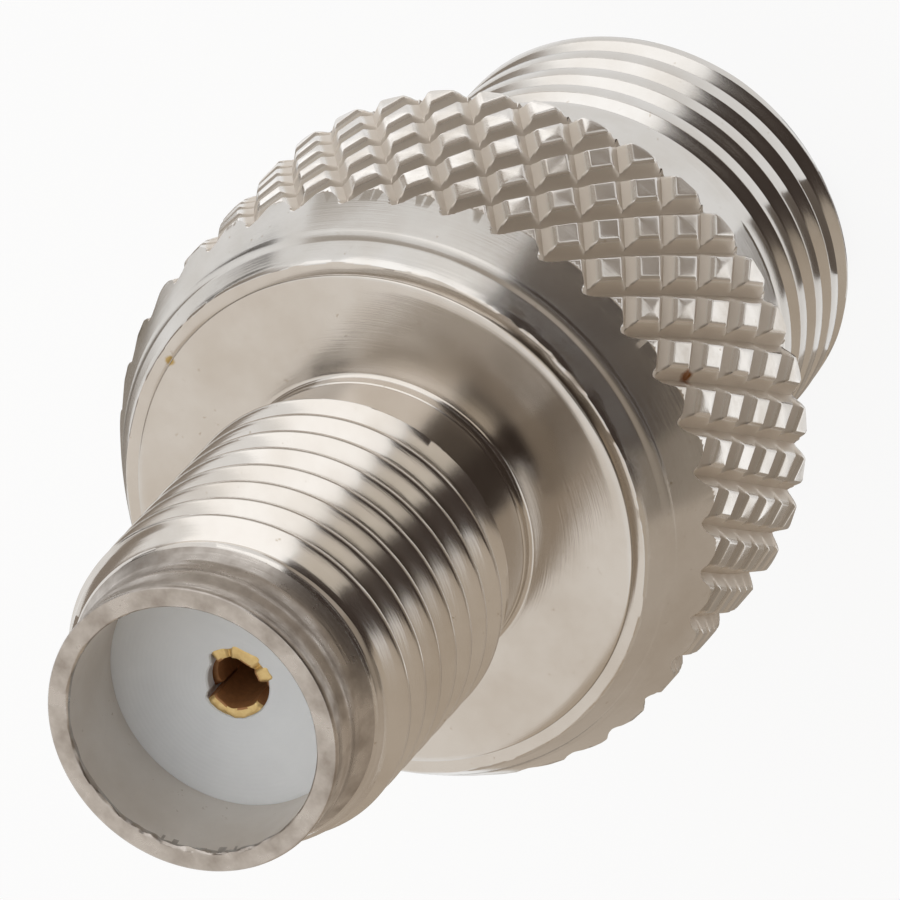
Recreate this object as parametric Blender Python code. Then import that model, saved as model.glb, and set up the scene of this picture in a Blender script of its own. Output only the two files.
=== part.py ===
"""Coaxial adapter: SMA jack at the top, FME plug at the bottom.

It stands on the FME end. Lengths are in metres, the axis is +Z, and heights run up from the
lower end face at z = 0. All pieces are turned on that one axis and pressed together.
"""

import math

import bmesh
import bpy

MM = 0.001

# Fits: the gap on each side between a pressed or seated pair.
FIT_GAP = 0.05 * MM

# SMA end, a 1/4-36 UNS thread with a plain nose in front of it.
FRONT_THREAD_DIAMETER = 6.33 * MM
FRONT_THREAD_LENGTH = 4.95 * MM
FRONT_THREAD_PITCH = 0.7056 * MM
FRONT_THREAD_DEPTH = 0.36 * MM
NOSE_STEP = 0.46 * MM
NOSE_LENGTH = 1.15 * MM
NOSE_WALL = 0.38 * MM
NOSE_EDGE = 0.05 * MM
LEAD_ANGLE = math.radians(27)
FRONT_BORE_DEPTH = 1.95 * MM
BORE_STEP = 0.275 * MM

# Neck, flange and spigot of the front shell.
NECK_STEP = 0.365 * MM
NECK_LENGTH = 1.87 * MM
NECK_FILLET = 0.55 * MM
FLANGE_THICKNESS = 1.2 * MM
FLANGE_STEP = 1.0 * MM
FLANGE_PROUD = 0.03 * MM
SPIGOT_LENGTH = 2.4 * MM
SPIGOT_EDGE = 0.15 * MM

# Knurled grip, with a cone in front of it that ends in a thin lip round the flange.
KNURL_DIAMETER = 11.3 * MM
KNURL_LENGTH = 4.36 * MM
KNURL_TEETH = 36
KNURL_HELIX = math.radians(29)
KNURL_DEPTH = 0.25 * MM
KNURL_LAND = 0.5
KNURL_START = 0.13 * MM
KNURL_EDGE = 0.1 * MM
CONE_WIDTH = 0.75 * MM
CONE_ANGLE = math.radians(26)
LIP_WIDTH = 0.25 * MM

# FME end, an M8 x 0.75 thread round an open bore.
BARREL_DIAMETER = 7.95 * MM
BARREL_LENGTH = 6.4 * MM
BARREL_EDGE = 0.4 * MM
BARREL_WALL = 1.175 * MM
REAR_THREAD_LENGTH = 3.45 * MM
REAR_THREAD_PITCH = 0.75 * MM
REAR_THREAD_DEPTH = 0.4 * MM
REAR_THREAD_RUNOUT = 0.4 * MM
BORE_LEAD = 0.15 * MM
SHOULDER_THICKNESS = 0.6 * MM
SHOULDER_WIDTH = 0.7 * MM

# Insulators.
HEAD_LENGTH = 1.9 * MM
INSULATOR_LEDGE = 0.2 * MM
INSULATOR_FLANGE_LENGTH = 2.8 * MM

# Centre contact: slotted socket, collar and pin in one turned piece.
CONTACT_DIAMETER = 1.27 * MM
CONTACT_EDGE = 0.04 * MM
SOCKET_WALL = 0.17 * MM
SOCKET_DEPTH = 3.2 * MM
SOCKET_SLOTS = 4
SLOT_WIDTH = 0.16 * MM
SLOT_LENGTH = 2.2 * MM
DRILL_POINT = math.radians(59)
COLLAR_STEP = 0.465 * MM
COLLAR_LENGTH = 0.8 * MM
COLLAR_SETBACK = 0.2 * MM
PIN_STEP = 0.135 * MM
PIN_RECESS = 1.0 * MM

# Width of each thread's flat crest as a share of its pitch. The flanks meet at the root.
THREAD_CREST = 0.25

# Facets round each kind of piece.
BODY_FACETS = 2 * KNURL_TEETH
SHELL_FACETS = 36
INSULATOR_FACETS = 32
CONTACT_FACETS = 24
FILLET_STEPS = 4
TIP_STEPS = 3

# Radii, from the outside of each end inwards.
front_thread_r = FRONT_THREAD_DIAMETER / 2
nose_r = front_thread_r - NOSE_STEP
front_bore_r = nose_r - NOSE_WALL
inner_bore_r = front_bore_r - BORE_STEP
neck_r = front_thread_r - NECK_STEP
knurl_r = KNURL_DIAMETER / 2
lip_r = knurl_r - CONE_WIDTH
recess_r = lip_r - LIP_WIDTH
flange_r = recess_r - FIT_GAP
spigot_r = flange_r - FLANGE_STEP
barrel_r = BARREL_DIAMETER / 2
rear_bore_r = barrel_r - BARREL_WALL
insulator_bore_r = rear_bore_r + INSULATOR_LEDGE
shoulder_bore_r = rear_bore_r - SHOULDER_WIDTH
contact_r = CONTACT_DIAMETER / 2
contact_bore_r = contact_r + FIT_GAP
collar_r = contact_r + COLLAR_STEP
pin_r = contact_r - PIN_STEP

# Heights of the knurled body, from the lower end up to the lip.
cone_slope = math.tan(CONE_ANGLE)
knurl_bottom = BARREL_LENGTH
knurl_top = knurl_bottom + KNURL_LENGTH
lip_top = knurl_top + CONE_WIDTH / cone_slope

# Heights of the front shell, whose flange sits in the body's recess.
flange_top = lip_top + FLANGE_PROUD
flange_bottom = flange_top - FLANGE_THICKNESS
spigot_bottom = flange_bottom - SPIGOT_LENGTH
front_thread_bottom = flange_top + NECK_LENGTH
front_thread_top = front_thread_bottom + FRONT_THREAD_LENGTH
front_thread_foot = front_thread_bottom - NECK_STEP
nose_bottom = front_thread_top + NOSE_STEP / math.tan(LEAD_ANGLE)
front_end = nose_bottom + NOSE_LENGTH

# Heights of the body's bores, each one below what it holds.
recess_floor = flange_bottom - FIT_GAP
spigot_floor = spigot_bottom - FIT_GAP
shoulder_top = spigot_floor - INSULATOR_FLANGE_LENGTH - FIT_GAP
shoulder_bottom = shoulder_top - SHOULDER_THICKNESS

# Heights of the insulators and of the contact's collar between them.
insulator_face = front_end - FRONT_BORE_DEPTH
head_bottom = insulator_face - HEAD_LENGTH
head_seat = head_bottom - FIT_GAP
collar_top = flange_top - COLLAR_SETBACK
collar_bottom = collar_top - COLLAR_LENGTH


def arc(centre, radius, start, end, steps):
    """Points of an arc in the profile plane, both ends included."""
    angles = [start + (end - start) * step / steps for step in range(steps + 1)]
    return [
        (centre[0] + radius * math.cos(angle), centre[1] + radius * math.sin(angle))
        for angle in angles
    ]


def shade_round(mesh):
    mesh.shade_smooth()
    mesh.set_sharp_from_angle(angle=math.radians(25))


def thread_rows(radius, pitch, depth, top, bottom, blank, facets, runout=0):
    """The rows of a screw thread from its top down, to stand among a turned profile's points.

    A row holds one (radius, height) pair for each edge round the axis. It follows the helix and
    stops level at the thread's ends. The blank gives the radius before the cut at a height, and
    over the runout the groove rises to nothing at the top.
    """

    def pair(column, height):
        place = (top - height) / pitch + column / facets
        cut = (2 * abs(place - round(place)) - THREAD_CREST) / (1 - THREAD_CREST)
        share = min((top - height) / runout, 1) if runout else 1
        return min(blank(height), radius - depth * share * max(cut, 0)), height

    rows = []
    for turn in range(math.ceil((top - bottom) / pitch) + 2):
        for station in (-THREAD_CREST / 2, THREAD_CREST / 2, 0.5):
            heights = [
                top - (turn + station - column / facets) * pitch for column in range(facets + 1)
            ]
            rows.append(
                [pair(column, min(max(at, bottom), top)) for column, at in enumerate(heights)]
            )
    return rows


def turned(name, profile, facets):
    """A solid of revolution from a closed profile of (radius, height) points.

    Rows of a thread may stand between the points. A profile that starts and ends on the axis is
    closed by the axis itself.
    """
    work = bmesh.new()
    rings = []
    for row in profile:
        pairs = row if isinstance(row, list) else [row] * (facets + 1)
        rings.append([])
        for column, (radius, height) in enumerate(pairs):
            angle = math.tau * column / facets
            spot = (radius * math.cos(angle), radius * math.sin(angle), height)
            rings[-1].append(work.verts.new(spot))
    if profile[0][0] != 0:
        rings.append(rings[0])
    for ring, following in zip(rings, rings[1:]):
        for column in range(facets):
            corners = ring[column], ring[column + 1], following[column + 1], following[column]
            work.faces.new(corners)
    bmesh.ops.remove_doubles(work, verts=work.verts, dist=0.0001 * MM)
    bmesh.ops.recalc_face_normals(work, faces=work.faces)
    mesh = bpy.data.meshes.new(name)
    work.to_mesh(mesh)
    work.free()
    shade_round(mesh)
    return add_object(name, mesh)


def add_object(name, mesh):
    piece = bpy.data.objects.new(name, mesh)
    bpy.context.scene.collection.objects.link(piece)
    return piece


def helper(piece):
    """A cutter or form that shapes another piece and isn't one itself."""
    piece.hide_render = True
    piece.display_type = "WIRE"
    return piece


def shaped_by(piece, operation, form):
    modifier = piece.modifiers.new(form.name, "BOOLEAN")
    modifier.operation = operation
    modifier.solver = "EXACT"
    modifier.object = form


def knurl_form():
    """A solid whose side carries the diamond knurl and which runs past both ends of the body.

    Two families of helical grooves cross at the knurl's corners. The corners lie on level lines
    half an axial pitch apart, and each line holds corners and lands in turn, shifted by half a
    tooth from the line below. A land is the flat top that the grooves leave on each diamond.
    """
    half_tooth = math.pi / KNURL_TEETH
    half_row = half_tooth * knurl_r / math.tan(KNURL_HELIX)
    first_line = -math.ceil(KNURL_START / half_row) - 1
    last_line = math.ceil((lip_top - knurl_bottom) / half_row) + 1
    places = 2 * KNURL_TEETH
    work = bmesh.new()

    def point(radius, place, height):
        angle = place * half_tooth
        return work.verts.new((radius * math.cos(angle), radius * math.sin(angle), height))

    corners, lands = {}, {}
    for line in range(first_line, last_line + 1):
        height = knurl_bottom + KNURL_START + line * half_row
        for place in range(places):
            if (place + line) % 2:
                corners[line, place] = point(knurl_r - KNURL_DEPTH, place, height)
            else:
                lands[line, place] = {
                    "left": point(knurl_r, place - KNURL_LAND, height),
                    "right": point(knurl_r, place + KNURL_LAND, height),
                    "above": point(knurl_r, place, height + KNURL_LAND * half_row),
                    "below": point(knurl_r, place, height - KNURL_LAND * half_row),
                }

    def half_diamond(line, place, side, next_line):
        """The half of a diamond between its own line and the next one up or down."""
        land = lands[line, place]
        left, right = corners[line, (place - 1) % places], corners[line, (place + 1) % places]
        tip = corners[next_line, place]
        work.faces.new((left, land["left"], land[side], tip))
        work.faces.new((right, land["right"], land[side], tip))
        work.faces.new((land["left"], land["right"], land[side]))

    for line, place in lands:
        if line < last_line:
            half_diamond(line, place, "above", line + 1)
        if line > first_line:
            half_diamond(line, place, "below", line - 1)

    def close_end(line, unused_side, height):
        """Carries an end line's outline straight on to a flat end at the height."""
        outline = []
        for place in range(places):
            if (place + line) % 2:
                outline.append(corners[line, place])
            else:
                outline += [lands[line, place]["left"], lands[line, place]["right"]]
                work.verts.remove(lands[line, place][unused_side])
        far = [work.verts.new((vert.co.x, vert.co.y, height)) for vert in outline]
        for step in range(len(outline)):
            work.faces.new((outline[step - 1], outline[step], far[step], far[step - 1]))
        work.faces.new(far)

    close_end(first_line, "below", -BARREL_LENGTH)
    close_end(last_line, "above", lip_top + BARREL_LENGTH)
    bmesh.ops.recalc_face_normals(work, faces=work.faces)
    mesh = bpy.data.meshes.new("knurl_form")
    work.to_mesh(mesh)
    work.free()
    return helper(add_object("knurl_form", mesh))


def knurled_body():
    """Knurled grip and FME barrel in one turned piece, bored from both ends."""
    over = knurl_r + KNURL_DEPTH
    thread = thread_rows(
        radius=barrel_r,
        pitch=REAR_THREAD_PITCH,
        depth=REAR_THREAD_DEPTH,
        top=REAR_THREAD_LENGTH,
        bottom=0,
        blank=lambda height: min(barrel_r - BARREL_EDGE + height, barrel_r),
        facets=BODY_FACETS,
        runout=REAR_THREAD_RUNOUT,
    )
    profile = [
        (rear_bore_r + BORE_LEAD, 0),
        *reversed(thread),
        (barrel_r, knurl_bottom),
        (knurl_r - KNURL_EDGE, knurl_bottom),
        (over, knurl_bottom + KNURL_EDGE + KNURL_DEPTH),
        (over, lip_top - (over - lip_r) / cone_slope),
        (lip_r, lip_top),
        (recess_r, lip_top),
        (recess_r, recess_floor),
        (spigot_r + FIT_GAP, recess_floor),
        (spigot_r + FIT_GAP, spigot_floor),
        (insulator_bore_r, spigot_floor),
        (insulator_bore_r, shoulder_top),
        (shoulder_bore_r, shoulder_top),
        (shoulder_bore_r, shoulder_bottom),
        (rear_bore_r, shoulder_bottom),
        (rear_bore_r, BORE_LEAD),
    ]
    body = turned("knurled_body", profile, BODY_FACETS)
    shaped_by(body, "INTERSECT", knurl_form())
    return body


def front_shell():
    """SMA nose, thread and neck, with the flange and spigot that press into the body."""
    fillet_centre = (neck_r + NECK_FILLET, flange_top + NECK_FILLET)

    def blank(height):
        lead = nose_r + (nose_bottom - height) * math.tan(LEAD_ANGLE)
        return min(lead, front_thread_r, neck_r + height - front_thread_foot)

    thread = thread_rows(
        radius=front_thread_r,
        pitch=FRONT_THREAD_PITCH,
        depth=FRONT_THREAD_DEPTH,
        top=nose_bottom,
        bottom=front_thread_foot,
        blank=blank,
        facets=SHELL_FACETS,
    )
    profile = [
        (front_bore_r, front_end),
        (nose_r - NOSE_EDGE, front_end),
        (nose_r, front_end - NOSE_EDGE),
        (nose_r, nose_bottom),
        *thread,
        (neck_r, front_thread_foot),
        *arc(fillet_centre, NECK_FILLET, math.pi, 1.5 * math.pi, FILLET_STEPS),
        (flange_r, flange_top),
        (flange_r, flange_bottom),
        (spigot_r, flange_bottom),
        (spigot_r, spigot_bottom + SPIGOT_EDGE),
        (spigot_r - SPIGOT_EDGE, spigot_bottom),
        (inner_bore_r, spigot_bottom),
        (inner_bore_r, head_seat),
        (front_bore_r, head_seat),
    ]
    return turned("front_shell", profile, SHELL_FACETS)


def front_insulator():
    """PTFE bead whose head fills the SMA bore and whose stem reaches the contact's collar."""
    profile = [
        (contact_bore_r, insulator_face),
        (front_bore_r - FIT_GAP, insulator_face),
        (front_bore_r - FIT_GAP, head_bottom),
        (inner_bore_r - FIT_GAP, head_bottom),
        (inner_bore_r - FIT_GAP, collar_top + FIT_GAP),
        (contact_bore_r, collar_top + FIT_GAP),
    ]
    return turned("front_insulator", profile, INSULATOR_FACETS)


def rear_insulator():
    """PTFE bead clamped between the shell's spigot and the body's inner shoulder."""
    profile = [
        (contact_bore_r, collar_bottom - FIT_GAP),
        (inner_bore_r - FIT_GAP, collar_bottom - FIT_GAP),
        (inner_bore_r - FIT_GAP, spigot_floor),
        (insulator_bore_r - FIT_GAP, spigot_floor),
        (insulator_bore_r - FIT_GAP, shoulder_top + FIT_GAP),
        (shoulder_bore_r - FIT_GAP, shoulder_top + FIT_GAP),
        (shoulder_bore_r - FIT_GAP, shoulder_bottom),
        (contact_bore_r, shoulder_bottom),
    ]
    return turned("rear_insulator", profile, INSULATOR_FACETS)


def slot_cutter(number):
    """A thin upright box that cuts two opposite slots in the socket's wall."""
    bpy.ops.mesh.primitive_cube_add(size=1)
    cutter = bpy.context.object
    cutter.name = f"slot_cutter_{number}"
    cutter.dimensions = (3 * contact_r, SLOT_WIDTH, 2 * SLOT_LENGTH)
    cutter.location.z = insulator_face
    cutter.rotation_euler.z = math.tau * number / SOCKET_SLOTS
    return helper(cutter)


def centre_contact():
    """Slotted socket at the top, collar between the insulators, round-nosed pin below."""
    socket_r = contact_r - SOCKET_WALL
    socket_bottom = insulator_face - SOCKET_DEPTH
    profile = [
        (0, socket_bottom - socket_r / math.tan(DRILL_POINT)),
        (socket_r, socket_bottom),
        (socket_r, insulator_face),
        (contact_r - CONTACT_EDGE, insulator_face),
        (contact_r, insulator_face - CONTACT_EDGE),
        (contact_r, collar_top),
        (collar_r, collar_top),
        (collar_r, collar_bottom),
        (contact_r, collar_bottom),
        (contact_r, shoulder_bottom),
        (pin_r, shoulder_bottom - PIN_STEP),
        *arc((0, PIN_RECESS + pin_r), pin_r, 0, -math.pi / 2, TIP_STEPS)[:-1],
        (0, PIN_RECESS),
    ]
    contact = turned("centre_contact", profile, CONTACT_FACETS)
    for number in range(SOCKET_SLOTS // 2):
        shaped_by(contact, "DIFFERENCE", slot_cutter(number))
    return contact


def finish(piece, color, metallic, roughness):
    material = bpy.data.materials.new(piece.name)
    material.use_nodes = True
    shader = material.node_tree.nodes["Principled BSDF"]
    shader.inputs["Base Color"].default_value = (*color, 1)
    shader.inputs["Metallic"].default_value = metallic
    shader.inputs["Roughness"].default_value = roughness
    piece.data.materials.append(material)


def main():
    for leftover in list(bpy.data.objects):
        bpy.data.objects.remove(leftover)

    nickel = {"color": (0.62, 0.57, 0.51), "metallic": 1, "roughness": 0.22}
    ptfe = {"color": (0.72, 0.73, 0.73), "metallic": 0, "roughness": 0.5}
    gold = {"color": (0.78, 0.55, 0.25), "metallic": 1, "roughness": 0.3}
    pieces = [
        (front_shell(), nickel),
        (knurled_body(), nickel),
        (front_insulator(), ptfe),
        (rear_insulator(), ptfe),
        (centre_contact(), gold),
    ]
    axis = bpy.data.objects.new("adapter_axis", None)
    bpy.context.scene.collection.objects.link(axis)
    for piece, look in pieces:
        finish(piece, **look)
        piece.parent = axis


main()
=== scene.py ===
"""Coaxial adapter, threaded jack to threaded plug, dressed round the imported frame.

The adapter stands on its rear end. Lengths in the classes are in millimetres, the axis is +Z,
heights run up from the rear end face, and angles run anticlockwise seen from above.
"""

import logging
import math
from dataclasses import dataclass, field
from enum import Enum
from typing import Callable, Iterable

import bmesh
import bpy
import numpy as np
from mathutils import Matrix, Vector


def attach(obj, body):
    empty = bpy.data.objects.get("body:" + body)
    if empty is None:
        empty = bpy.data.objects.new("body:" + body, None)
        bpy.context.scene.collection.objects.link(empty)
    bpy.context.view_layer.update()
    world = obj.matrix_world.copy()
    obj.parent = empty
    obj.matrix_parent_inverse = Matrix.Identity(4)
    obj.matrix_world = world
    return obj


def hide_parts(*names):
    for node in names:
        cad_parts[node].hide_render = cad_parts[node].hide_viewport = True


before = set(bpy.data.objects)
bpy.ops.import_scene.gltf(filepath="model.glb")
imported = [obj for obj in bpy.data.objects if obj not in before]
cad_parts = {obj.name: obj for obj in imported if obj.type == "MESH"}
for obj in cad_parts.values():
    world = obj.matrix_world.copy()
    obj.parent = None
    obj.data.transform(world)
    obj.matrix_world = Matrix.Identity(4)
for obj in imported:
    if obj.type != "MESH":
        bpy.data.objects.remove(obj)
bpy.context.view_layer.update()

MM = 0.001
BODY = "root"
LOG = logging.getLogger("adapter")

# Edges that turn by more than this many degrees stay sharp under smooth shading.
SHARP_ANGLE = 32.0
# Radius of the pinched row that closes a mesh on the axis.
ON_AXIS = 1e-5
# Points in a card's grid, round the object and up.
CARD_COLUMNS = 33
CARD_ROWS = 17

Point = tuple[float, float]
Points = list[Point]
Color = tuple[float, float, float, float]

Mesh = bpy.types.Mesh
Piece = bpy.types.Object
Material = bpy.types.Material
Tree = bpy.types.NodeTree
Node = bpy.types.Node
Socket = bpy.types.NodeSocket
Sockets = dict[str, Socket]


class Zone(Enum):
    """Part of a piece's surface with a finish of its own."""

    PLAIN = "plain"
    FACED = "faced"
    BRUSHED = "brushed"
    BORED = "bored"


def arc(centre: Point, radius: float, start: float, end: float, steps: int) -> Points:
    """Points of an arc in the profile plane, both ends included.

    Args:
        centre: Radius and height of the arc's centre.
        radius: The arc's radius.
        start: First angle in degrees.
        end: Last angle in degrees.
        steps: Number of chords.

    Returns:
        The points in order from start to end.
    """
    angles = np.radians(np.linspace(start, end, steps + 1))
    return [
        (centre[0] + radius * math.cos(angle), centre[1] + radius * math.sin(angle)) for angle in angles
    ]


def straight(start: Point, end: Point, steps: int) -> Points:
    """Points of a straight line, both ends included.

    Args:
        start: First radius and height.
        end: Last radius and height.
        steps: Number of equal pieces.

    Returns:
        The points in order from start to end.
    """
    shares = np.linspace(0, 1, steps + 1)
    return [
        (start[0] + (end[0] - start[0]) * share, start[1] + (end[1] - start[1]) * share)
        for share in shares
    ]


def rounded(before: Point, corner: Point, after: Point, radius: float, steps: int = 3) -> Points:
    """The short curve that takes the place of a corner.

    Args:
        before: The profile's point before the corner.
        corner: The corner.
        after: The profile's point after it.
        radius: How far from the corner the curve starts and ends.
        steps: Number of chords.

    Returns:
        The curve's points in order.
    """
    here = np.array(corner)
    back = here + (np.array(before) - here) / np.linalg.norm(np.array(before) - here) * radius
    on = here + (np.array(after) - here) / np.linalg.norm(np.array(after) - here) * radius
    points = []
    for share in np.linspace(0, 1, steps + 1):
        spot = back * (1 - share) ** 2 + here * 2 * share * (1 - share) + on * share**2
        points.append((float(spot[0]), float(spot[1])))
    return points


def softened(value: np.ndarray, soft: float) -> np.ndarray:
    """A slope that starts from nought with a rounding.

    Args:
        value: Height of the sharp slope, below nought where the level part lies.
        soft: Reach of the rounding on each side of the bend.

    Returns:
        Nought on the level part and the slope's own height beyond the rounding.
    """
    return np.where(value < soft, np.maximum(value + soft, 0) ** 2 / (4 * soft), value)


def smooth_noise(count: int, grain: float, seed: int) -> np.ndarray:
    """Seamless noise round a circle, between about -1 and 1.

    Args:
        count: Number of columns.
        grain: Width of a bump, in columns.
        seed: Seed of the draw.

    Returns:
        One value for each column and one more that repeats the first.
    """
    values = np.random.default_rng(seed).normal(size=count)
    offsets = np.minimum(np.arange(count), count - np.arange(count))
    kernel = np.exp(-0.5 * (offsets / grain) ** 2)
    kernel /= math.sqrt((kernel**2).sum())
    values = np.real(np.fft.ifft(np.fft.fft(values) * np.fft.fft(kernel)))
    return np.append(values, values[0])


@dataclass(frozen=True)
class Thread:
    """An external right-hand screw thread cut on a turned blank.

    Top and bottom are where the cut starts and stops. The envelope gives the radius that the
    blank had at each height before the cut. Crest and root are the widths of the flats as
    shares of the pitch, fade is the length over which the cut runs out at the top, and phase
    turns the helix, in turns.
    """

    major: float
    pitch: float
    depth: float
    top: float
    bottom: float
    envelope: Callable[[np.ndarray], np.ndarray]
    crest: float
    root: float
    fade: float = 0.0
    phase: float = 0.0
    rounding: float = 0.035

    @property
    def flank(self) -> float:
        """Width of one flank as a share of the pitch."""
        return (1 - self.crest - self.root) / 2

    def stations(self) -> np.ndarray:
        """Places in one pitch where the section has points.

        Returns:
            Shares of the pitch, from the middle of one crest to just short of the next.
        """
        half, edge = self.crest / 2, 0.03
        below = [half - edge, half, half + edge, half + self.flank * 0.35, half + self.flank * 0.7]
        foot = [half + self.flank - edge, half + self.flank + edge]
        shares = [0.0, *below, *foot, 0.5]
        mirrored = [1 - share for share in reversed(shares[1:-1])]
        return np.array([*shares, *mirrored])

    def cut(self, share: np.ndarray) -> np.ndarray:
        """Depth of the cut as a share of the full depth.

        Args:
            share: Place in the pitch, 0 at the middle of a crest.

        Returns:
            Nought on the crest and one at the root, with small roundings between.
        """
        away = np.abs(share - np.round(share))
        slope = (away - self.crest / 2) / self.flank
        soft = self.rounding / self.flank
        both = np.where(slope > 0.5, 1 - softened(1 - slope, soft), softened(slope, soft))
        return both.clip(0, 1)

    def radius(self, angle: np.ndarray, height: np.ndarray) -> np.ndarray:
        """Radius of the threaded surface.

        Args:
            angle: Angle of each column in turns.
            height: Height of each point.

        Returns:
            The radii.
        """
        share = (self.top - height) / self.pitch + angle + self.phase
        strength = np.ones_like(height)
        if self.fade:
            strength = np.clip((self.top - height) / self.fade, 0, 1) ** 0.7
        cut = self.major - self.depth * self.cut(share) * strength
        return np.minimum(cut, self.envelope(height))


@dataclass
class TurnedSkin:
    """Rows of points round the Z axis that become one closed mesh."""

    columns: int
    rows: list[np.ndarray] = field(default_factory=list)

    @property
    def turns(self) -> np.ndarray:
        """The columns' angles in turns, the last one closing the circle."""
        return np.arange(self.columns + 1) / self.columns

    def row(self, radius: np.ndarray | float, height: np.ndarray | float) -> None:
        """Adds one row, with a number or an array for each of radius and height."""
        blank = np.zeros(self.columns + 1)
        self.rows.append(np.stack([blank + radius, blank + height], axis=1))

    def path(self, points: Iterable[Point]) -> None:
        """Adds a plain row for each radius and height."""
        for radius, height in points:
            self.row(radius, height)

    def ragged(
        self, points: Iterable[Point], amount: float, grain: float, seed: int,
        where: np.ndarray | float = 1.0,
    ) -> None:
        """Adds rows whose radius and height wander, for a torn or burred edge.

        Args:
            points: Radius and height of each row.
            amount: Largest wander.
            grain: Width of a bump in columns.
            seed: Seed of the draw.
            where: Strength of the wander at each column.
        """
        for step, (radius, height) in enumerate(points):
            out = smooth_noise(self.columns, grain, seed + step) * amount * where
            up = smooth_noise(self.columns, grain, seed + 50 + step) * amount * where
            self.row(radius + out * 0.7, height - np.abs(up) * 0.5)

    def thread(self, thread: Thread) -> None:
        """Adds the rows of a thread, which follow its helix and stop on level ends.

        Args:
            thread: The thread.
        """
        stations = thread.stations()
        length = thread.top - thread.bottom
        first = -math.ceil(1 + abs(thread.phase))
        last = math.ceil(length / thread.pitch + 1 + abs(thread.phase))
        for turn in range(first, last + 1):
            for station in stations:
                share = turn + station
                height = thread.top - (share - self.turns - thread.phase) * thread.pitch
                height = height.clip(thread.bottom, thread.top)
                self.row(thread.radius(self.turns, height), height)

    def mesh(self, name: str) -> Mesh:
        """Joins the rows, the last one to the first, and welds them into one closed mesh.

        Args:
            name: The mesh's name.

        Returns:
            The mesh, in metres.
        """
        rows = np.array(self.rows)
        angle = self.turns * math.tau
        points = np.stack(
            [rows[..., 0] * np.cos(angle), rows[..., 0] * np.sin(angle), rows[..., 1]], axis=-1
        )
        count, width = rows.shape[:2]
        above = np.arange(count)[:, None] * width + np.arange(width - 1)
        below = np.roll(above, -1, axis=0)
        faces = np.stack([above, below, below + 1, above + 1], axis=-1).reshape(-1, 4)
        return welded(name, points.reshape(-1, 3) * MM, faces)


def welded(name: str, points: np.ndarray, faces: np.ndarray) -> Mesh:
    """A mesh from points in metres and faces, with touching points joined.

    Args:
        name: The mesh's name.
        points: One point in each row.
        faces: Point numbers of each face.

    Returns:
        The mesh, its faces turned outwards.
    """
    mesh = bpy.data.meshes.new(name)
    mesh.from_pydata(points.tolist(), [], faces.tolist())
    work = bmesh.new()
    work.from_mesh(mesh)
    bmesh.ops.remove_doubles(work, verts=work.verts, dist=0.0004 * MM)
    bmesh.ops.dissolve_degenerate(work, edges=work.edges, dist=0.0002 * MM)
    bmesh.ops.recalc_face_normals(work, faces=work.faces)
    work.to_mesh(mesh)
    work.free()
    return mesh


def shade(mesh: Mesh) -> None:
    """Shades a mesh smooth and keeps its edges sharp."""
    mesh.shade_smooth()
    mesh.set_sharp_from_angle(angle=math.radians(SHARP_ANGLE))


def piece_from(name: str, mesh: Mesh) -> Piece:
    """An object with smooth shading and sharp edges.

    Args:
        name: The object's name.
        mesh: Its mesh.

    Returns:
        The object, linked to the scene.
    """
    shade(mesh)
    piece = bpy.data.objects.new(name, mesh)
    bpy.context.scene.collection.objects.link(piece)
    return piece


def dress(
    piece: Piece, finishes: dict[Zone, Material], zone: Callable[[float, float, float], Zone] | None
) -> None:
    """Gives a piece its finishes.

    Args:
        piece: The piece.
        finishes: The material of each zone, the plain one first.
        zone: Tells a face's zone by its radius and height in millimetres and by how far it
            faces up, or None where one finish covers the piece.
    """
    mesh = piece.data
    mesh.materials.clear()
    for finish in finishes.values():
        mesh.materials.append(finish)
    if zone is None:
        return
    places = {key: place for place, key in enumerate(finishes)}
    for face in mesh.polygons:
        x, y, z = face.center / MM
        face.material_index = places[zone(math.hypot(x, y), z, face.normal.z)]


def linear(code: str) -> Color:
    """A colour for a shader from its sRGB hex code.

    Args:
        code: Six hex digits after a hash sign.

    Returns:
        Linear red, green, blue and an alpha of one.
    """
    parts = [int(code[place : place + 2], 16) / 255 for place in (1, 3, 5)]
    red, green, blue = (
        part / 12.92 if part <= 0.04045 else ((part + 0.055) / 1.055) ** 2.4 for part in parts
    )
    return red, green, blue, 1.0


def plug(tree: Tree, target: Node, **inputs: object) -> None:
    """Sets or links the inputs of a node.

    Args:
        tree: The tree that it stands in.
        target: The node.
        inputs: For each input a value, a socket, or a node whose first output is meant. An
            input goes by its name with _ for a space, or by i and its number.
    """
    for key, value in inputs.items():
        number = key[1:] if key[0] == "i" and key[1:].isdigit() else None
        socket = target.inputs[int(number)] if number else target.inputs[key.replace("_", " ")]
        if isinstance(value, Node):
            value = value.outputs[0]
        if isinstance(value, Socket):
            tree.links.new(value, socket)
        else:
            socket.default_value = value


def node(tree: Tree, kind: str, settings: dict | None = None, **inputs: object) -> Node:
    """Adds a shader node with its settings and links.

    Args:
        tree: The tree that it goes in.
        kind: Blender's name of the node's type, without ShaderNode in front.
        settings: Properties of the node.
        inputs: Its inputs, as plug takes them.

    Returns:
        The new node.
    """
    made = tree.nodes.new("ShaderNode" + kind)
    for key, value in (settings or {}).items():
        setattr(made, key, value)
    plug(tree, made, **inputs)
    return made


def blank_material(name: str) -> tuple[Material, Tree, Node]:
    """A new material.

    Args:
        name: The material's name.

    Returns:
        The material, its node tree and the shader in it.
    """
    material = bpy.data.materials.new(name)
    material.use_nodes = True
    return material, material.node_tree, material.node_tree.nodes["Principled BSDF"]


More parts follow.
